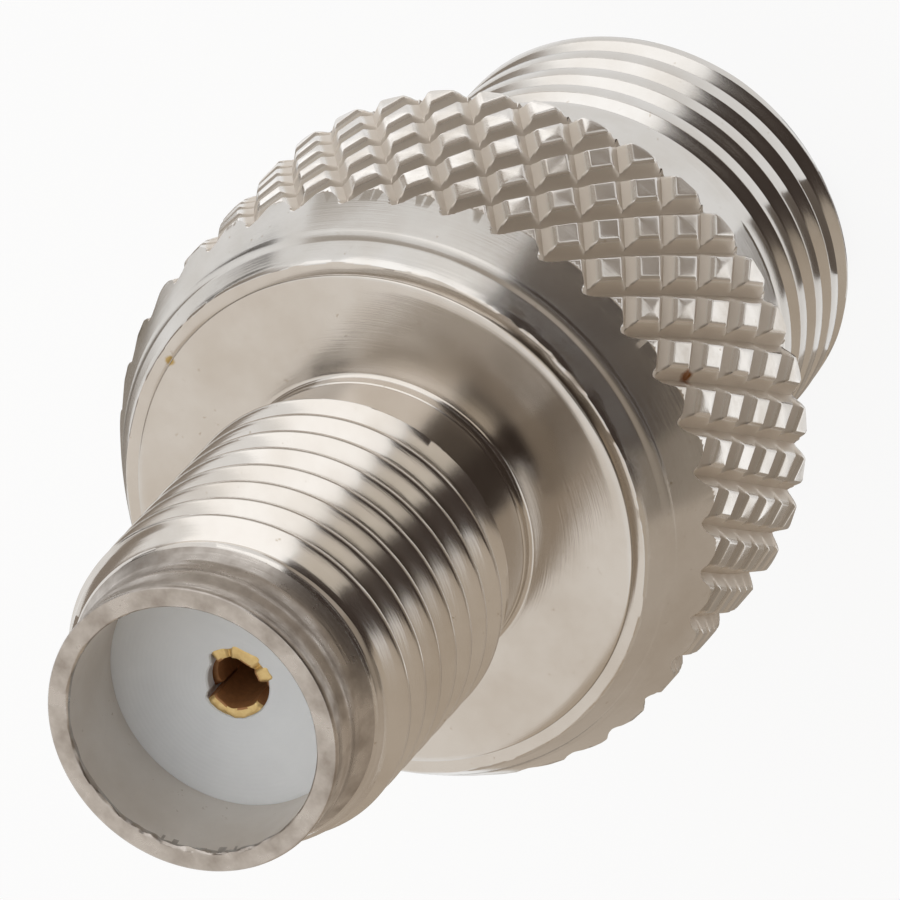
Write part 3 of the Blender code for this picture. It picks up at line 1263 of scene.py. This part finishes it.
@dataclass(frozen=True)
class CentreContact:
    """Slotted socket in front, collar, and a round-nosed pin behind.

    The corner width is how many degrees of a tine's end are worn round at each side.
    """

    columns: int = 240
    face: float = 19.2655
    radius: float = 0.64
    bore: float = 0.46
    socket_bottom: float = 16.0505
    drill_bottom: float = 15.77
    collar_radius: float = 1.1
    collar_top: float = 12.1277
    collar_bottom: float = 11.3277
    collar_edge: float = 0.03
    step: float = 5.2277
    pin_radius: float = 0.5
    pin_end: float = 1.0
    slot_length: float = 1.1
    burr: float = 0.018
    corner_width: float = 9
    corner_wear: float = 0.06
    tines: tuple[Tine, ...] = (
        Tine(74, 184, 0.645),
        Tine(228, 258, 0.735),
        Tine(258.5, 318, 0.715, 0.01),
        Tine(318.5, 352, 0.69, 0.02),
        Tine(0, 70, 0.64, 0.42),
        Tine(188, 212, 0.64, 0.5),
    )

    def worn(self, degrees: np.ndarray) -> tuple[np.ndarray, np.ndarray]:
        """The worn end of the socket, slots and tines.

        Args:
            degrees: Angle of each column.

        Returns:
            The outer radius at the end of each column, and how far its end lies below the face.
        """
        drop = np.full_like(degrees, self.slot_length)
        lip = np.full_like(degrees, self.radius)
        for tine in self.tines:
            inside = (degrees >= tine.start) & (degrees <= tine.end)
            edge = np.minimum(degrees - tine.start, tine.end - degrees) / self.corner_width
            grown = self.radius + (tine.lip - self.radius) * np.clip(edge, 0, 1) ** 0.5
            lip = np.where(inside, grown, lip)
            worn = self.corner_wear * np.clip(1 - edge, 0, 1) ** 2
            drop = np.where(inside, tine.drop + worn, drop)
        lip[-1], drop[-1] = lip[0], drop[0]
        return lip, drop

    def add_socket(self, skin: TurnedSkin) -> None:
        """Adds the drilled hole, the tines' ends and the socket's outside.

        Args:
            skin: The skin that takes the rows.
        """
        lip, drop = self.worn(skin.turns * 360)
        inner = self.bore + smooth_noise(self.columns, grain=5.0, seed=71) * self.burr
        burr = smooth_noise(self.columns, grain=3.0, seed=72) * self.burr
        top = self.face - drop
        spread = np.where(drop < 0.1, lip - self.radius, 0.0) + np.where(drop < 0.1, burr, 0.0)
        outer = self.radius + spread
        skin.row(ON_AXIS, self.drill_bottom)
        skin.row(self.bore, self.socket_bottom)
        for share in (0.3, 0.6, 0.9):
            skin.row(self.bore, self.socket_bottom + (top - self.socket_bottom) * share)
        for radius, down in (
            (inner, 0.05), (inner + 0.015, 0.012), (inner + 0.05, 0.0), (outer - 0.045, 0.0),
            (outer - 0.012, 0.006), (outer, 0.014), (self.radius, 0.02),
        ):
            skin.row(radius, top - down)
        for share in (0.9, 0.5, 0.0):
            skin.row(self.radius, self.face - 2.0 + (top - 0.03 - self.face + 2.0) * share)

    def build(self) -> Piece:
        """Makes the piece.

        Returns:
            The object.
        """
        skin = TurnedSkin(self.columns)
        self.add_socket(skin)
        edge = self.collar_edge
        skin.path(
            [
                (self.radius, self.collar_top), (self.collar_radius - edge, self.collar_top),
                (self.collar_radius, self.collar_top - edge),
                (self.collar_radius, self.collar_bottom + edge),
                (self.collar_radius - edge, self.collar_bottom), (self.radius, self.collar_bottom),
                (self.radius, self.step), (self.pin_radius, self.step - 0.135),
            ]
        )
        skin.path(arc((0, self.pin_end + self.pin_radius), self.pin_radius, 0, -86, 8))
        skin.path([(ON_AXIS, self.pin_end)])
        return piece_from("contact", skin.mesh("contact"))

    def zone(self, radius: float, height: float, _rise: float) -> Zone:
        """The socket's inside and its sunken tines take the darker gold, painted shade of the recess.

        Args:
            radius: The face's distance from the axis.
            height: Its height.

        Returns:
            The face's zone.
        """
        inside = radius < self.bore + 0.03 and height > self.drill_bottom - 0.1
        sunken = self.socket_bottom < height < self.face - 0.2
        return Zone.BORED if inside or sunken else Zone.PLAIN


def card(name: str, grid: np.ndarray, color: str, strength: float) -> Piece:
    """A lit or dark card from a grid of points, which the camera doesn't see.

    Args:
        name: The object's name.
        grid: Rows and columns of points in millimetres.
        color: Hex code of the card's colour.
        strength: Its brightness, 1 being white paper.

    Returns:
        The card, linked to the scene.
    """
    count, width = grid.shape[:2]
    corner = (np.arange(count - 1)[:, None] * width + np.arange(width - 1)).ravel()
    faces = np.stack([corner, corner + 1, corner + width + 1, corner + width], axis=-1)
    mesh = bpy.data.meshes.new(name)
    mesh.from_pydata((grid.reshape(-1, 3) * MM).tolist(), [], faces.tolist())
    material, tree, _ = blank_material(name)
    glow = node(tree, "Emission", Color=linear(color), Strength=strength)
    plug(tree, tree.nodes["Material Output"], Surface=glow)
    mesh.materials.append(material)
    made = bpy.data.objects.new(name, mesh)
    bpy.context.scene.collection.objects.link(made)
    made.visible_camera = False
    return made


@dataclass(frozen=True)
class HungCard:
    """A softbox, a reflector or a dark flag hung round the object, as a patch of a dome.

    Start and end are angles round the axis, low and high are angles above the horizon, and
    the dome's middle is at the centre height.
    """

    name: str
    start: float
    end: float
    low: float
    high: float
    color: str = "#FFFFFF"
    strength: float = 1.0
    distance: float = 450.0
    centre_height: float = 12.0

    def build(self) -> Piece:
        """Makes the card.

        Returns:
            The object.
        """
        turn, rise = np.meshgrid(
            np.radians(np.linspace(self.start, self.end, CARD_COLUMNS)),
            np.radians(np.linspace(self.low, self.high, CARD_ROWS)),
        )
        flat = np.cos(rise) * self.distance
        up = np.sin(rise) * self.distance + self.centre_height
        grid = np.stack([flat * np.cos(turn), flat * np.sin(turn), up], axis=-1)
        return card(self.name, grid, self.color, self.strength)


@dataclass(frozen=True)
class LaidCard:
    """A grey card laid on the floor round the object, as a sector of a ring, seen only by mirrors: a
    painted reflection.
    """

    name: str
    start: float
    end: float
    inner: float
    outer: float
    color: str
    strength: float = 1.0
    height: float = 0.02

    def build(self) -> Piece:
        """Makes the card, which throws no shadow and lights nothing but mirrors.

        Returns:
            The object.
        """
        turn, reach = np.meshgrid(
            np.radians(np.linspace(self.start, self.end, CARD_COLUMNS)),
            np.array([self.inner, self.outer]),
        )
        up = np.full_like(reach, self.height)
        grid = np.stack([reach * np.cos(turn), reach * np.sin(turn), up], axis=-1)
        made = card(self.name, grid, self.color, self.strength)
        made.visible_diffuse = False
        made.visible_shadow = False
        return made


@dataclass(frozen=True)
class Studio:
    """Pale floor, soft light and the camera of the photograph."""

    cards: tuple[HungCard | LaidCard, ...] = (
        HungCard("softbox", 292, 354, -1, 74, "#FFFFFF", 1.42),
        HungCard("beige_fill", 120, 215, -1, 52, "#C4B8A9", 1.0),
        HungCard("dark_flag", 215, 292, -1, 80, "#443B36", 1.0),
        HungCard("top_patch", 252, 290, 53, 82, "#E2DACE", 1.0, 440.0),
        HungCard("back_low", 2, 60, -1, 28, "#9A9086"),
        HungCard("back_fill", 20, 150, 30, 84, "#F5F1EC", 1.0, 460.0),
        # The laid cards are painted reflections: only mirrors see them and they light nothing. The dark
        # ones paint shade into the metal's reflections, and the white ones paint highlights.
        LaidCard("beige_ground_reflection", 118, 205, 13.0, 400, "#BDB1A3"),
        LaidCard("dim_ground_reflection", 205, 250, 13.0, 62, "#A0968A"),
        LaidCard("dim_far_ground_reflection", 205, 225, 62.0, 400, "#8E8478"),
        LaidCard("mid_ground_reflection", 250, 306, 17.5, 62, "#B0A79D"),
        LaidCard("dark_ground_reflection", 225, 268, 62.0, 400, "#4E4640"),
        LaidCard("far_ground_reflection", 268, 292, 62.0, 400, "#5C534B"),
        LaidCard("side_ground_reflection", 306, 352, 17.5, 45, "#B8B1A8"),
        LaidCard("shade_ground_reflection", 1, 24, 40.0, 90, "#5A5550"),
        LaidCard("back_ground_reflection", 24, 90, 13.0, 20.0, "#8F867B"),
        LaidCard("edge_ground_reflection", 302, 384, 12.95, 16.5, "#A5988A"),
        LaidCard("near_right_reflection", 26, 118, 9.6, 13.0, "#8F867B"),
        LaidCard("near_left_reflection", 118, 182, 8.2, 13.0, "#A0968A"),
        LaidCard("near_ground_reflection", 250, 302, 9.6, 12.9, "#968C82"),
        LaidCard("left_paper_reflection", 182, 250, 9.6, 12.9, "#FFFFFF", 1.3),
        LaidCard("right_paper_reflection", 302, 386, 9.6, 12.9, "#FFFFFF", 1.5),
        LaidCard("near_beige_reflection", 120, 192, 3.2, 8.2, "#A89E92"),
        LaidCard("foot_shade_reflection", 216, 246, 3.2, 6.2, "#6A6159"),
    )
    azimuth: float = -0.4
    elevation: float = 56.3
    field_width: float = 15.79
    lens: float = 1500.0
    sensor: float = 36.0
    aim_height: float = 9.326
    aim_side: float = 0.03
    roll_x: float = -0.6745
    roll_y: float = -0.738
    floor_size: float = 4000.0
    floor_color: str = "#F2F2F2"
    floor_roughness: float = 0.8
    floor_glow: float = 0.9

    def camera(self) -> Piece:
        """Makes the camera, rolled so that the adapter's nose points to the lower left.

        Returns:
            The camera.
        """
        azimuth, elevation = math.radians(self.azimuth), math.radians(self.elevation)
        flat = math.cos(elevation)
        back = Vector((math.sin(azimuth) * flat, -math.cos(azimuth) * flat, math.sin(elevation)))
        nose = (Vector((0, 0, 1)) - back * back.z).normalized()
        side = back.cross(nose)
        length = math.hypot(self.roll_x, self.roll_y)
        cos, sin = self.roll_x / length, self.roll_y / length
        right = nose * cos - side * sin
        up = nose * sin + side * cos
        data = bpy.data.cameras.new("camera")
        data.sensor_width = self.sensor
        data.lens = self.lens
        distance = self.field_width * self.lens / data.sensor_width * MM
        data.clip_start, data.clip_end = distance * 0.1, distance * 10
        camera = bpy.data.objects.new("camera", data)
        aim = Vector((0, 0, self.aim_height * MM)) + side * self.aim_side * MM
        turn = Matrix((right, up, back)).transposed().to_4x4()
        camera.matrix_world = Matrix.Translation(aim + back * distance) @ turn
        bpy.context.scene.collection.objects.link(camera)
        bpy.context.scene.camera = camera
        return camera

    def floor(self) -> Piece:
        """Makes the pale floor that the adapter stands on.

        The camera and mirrors see it mostly as an even glow, so no shadow greys it there.

        Returns:
            The floor, linked to the scene.
        """
        mesh = bpy.data.meshes.new("floor")
        half = self.floor_size / 2 * MM
        corners = [(-half, -half, 0), (half, -half, 0), (half, half, 0), (-half, half, 0)]
        mesh.from_pydata(corners, [], [(0, 1, 2, 3)])
        floor = bpy.data.objects.new("floor", mesh)
        bpy.context.scene.collection.objects.link(floor)
        material, tree, shader = blank_material("pale_floor")
        plug(tree, shader, Base_Color=linear(self.floor_color), Roughness=self.floor_roughness)
        rays = node(tree, "LightPath").outputs
        most = {"operation": "MAXIMUM"}
        mirrored = node(tree, "Math", most, i0=rays["Is Glossy Ray"], i1=rays["Is Transmission Ray"])
        seen = node(tree, "Math", most, i0=rays["Is Camera Ray"], i1=mirrored)
        share = node(tree, "Math", {"operation": "MULTIPLY"}, i0=seen, i1=self.floor_glow)
        glow = node(tree, "Emission", Color=(1, 1, 1, 1), Strength=1.0)
        mix = node(tree, "MixShader", i0=share, i1=shader, i2=glow)
        plug(tree, tree.nodes["Material Output"], Surface=mix)
        mesh.materials.append(material)
        return floor

    def world(self) -> None:
        """Sets the plain white surroundings."""
        world = bpy.data.worlds.new("white_tent")
        bpy.context.scene.world = world
        world.use_nodes = True
        world.node_tree.nodes["Background"].inputs["Color"].default_value = (1, 1, 1, 1)

    def build(self) -> None:
        """Makes the whole studio and sets the plain view transform."""
        self.camera()
        self.floor()
        self.world()
        for one in self.cards:
            one.build()
        bpy.context.scene.view_settings.view_transform = "Standard"


def main() -> None:
    """Builds the adapter piece by piece, then the studio round it."""
    bright = NickelPlate("nickel_plate").build()
    thread = NickelPlate("nickel_thread", color="#D6D1CB", roughness=0.17).build()
    faced = NickelPlate(
        "nickel_faced", color="#D2CCC5", roughness=0.15, ring_width=0.02, anisotropy=0.6,
        marks=(Mark(236.4, 12.46, 3.707, 0.06, "#5E4E40"), Mark(6.9, 12.298, 4.68, 0.12, "#B89E68")),
    ).build()
    nose = NickelPlate(
        "nickel_brushed", color="#C2BBB4", stain="#75675A", roughness=0.32, cloud=0.2, mottle=0.65,
        mottle_scale=1.8, ring_width=0.09, ring_height=0.008,
    ).build()
    bored = NickelPlate("nickel_bore", color="#E6E1DB", roughness=0.62, mottle=0.2).build()
    grip = NickelPlate(
        "nickel_grip", color="#D6D2CD", roughness=0.2, cloud=0.14, mottle=0.4, mottle_scale=1.1,
        dull_radius=5.59, marks=(Mark(245.7, 10.06, 5.45, 0.2, "#8A5A30"),),
    ).build()
    ptfe = WhitePtfe("white_ptfe").build()
    gold = GoldPlate("gold_plate").build()
    # Painted shade: a darker, less metallic gold for the socket's inside and sunken tines, standing in
    # for the recess's shade.
    painted_shade_gold = GoldPlate(
        "gold_painted_shade", color="#C08C5C", worn="#8E6440", roughness=0.6, metallic=0.35
    ).build()
    shell_finishes = {Zone.PLAIN: thread, Zone.FACED: faced, Zone.BRUSHED: nose, Zone.BORED: bored}
    body_finishes = {Zone.PLAIN: bright, Zone.FACED: faced, Zone.BRUSHED: grip}
    pieces = [
        (FrontShell(), "front_shell", shell_finishes), (KnurledBody(), "knurled_body", body_finishes),
        (FrontInsulator(), "front_insulator", {Zone.PLAIN: ptfe}),
        (RearInsulator(), "rear_insulator", {Zone.PLAIN: ptfe}),
        (CentreContact(), "centre_contact", {Zone.PLAIN: gold, Zone.BORED: painted_shade_gold}),
    ]
    for maker, replaced, finishes in pieces:
        piece = maker.build()
        dress(piece, finishes, getattr(maker, "zone", None))
        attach(piece, BODY)
        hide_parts(replaced)
        LOG.info("%s stands for %s with %d faces", piece.name, replaced, len(piece.data.polygons))
    Studio().build()


if __name__ == "__main__":
    logging.basicConfig(level=logging.INFO)
    main()
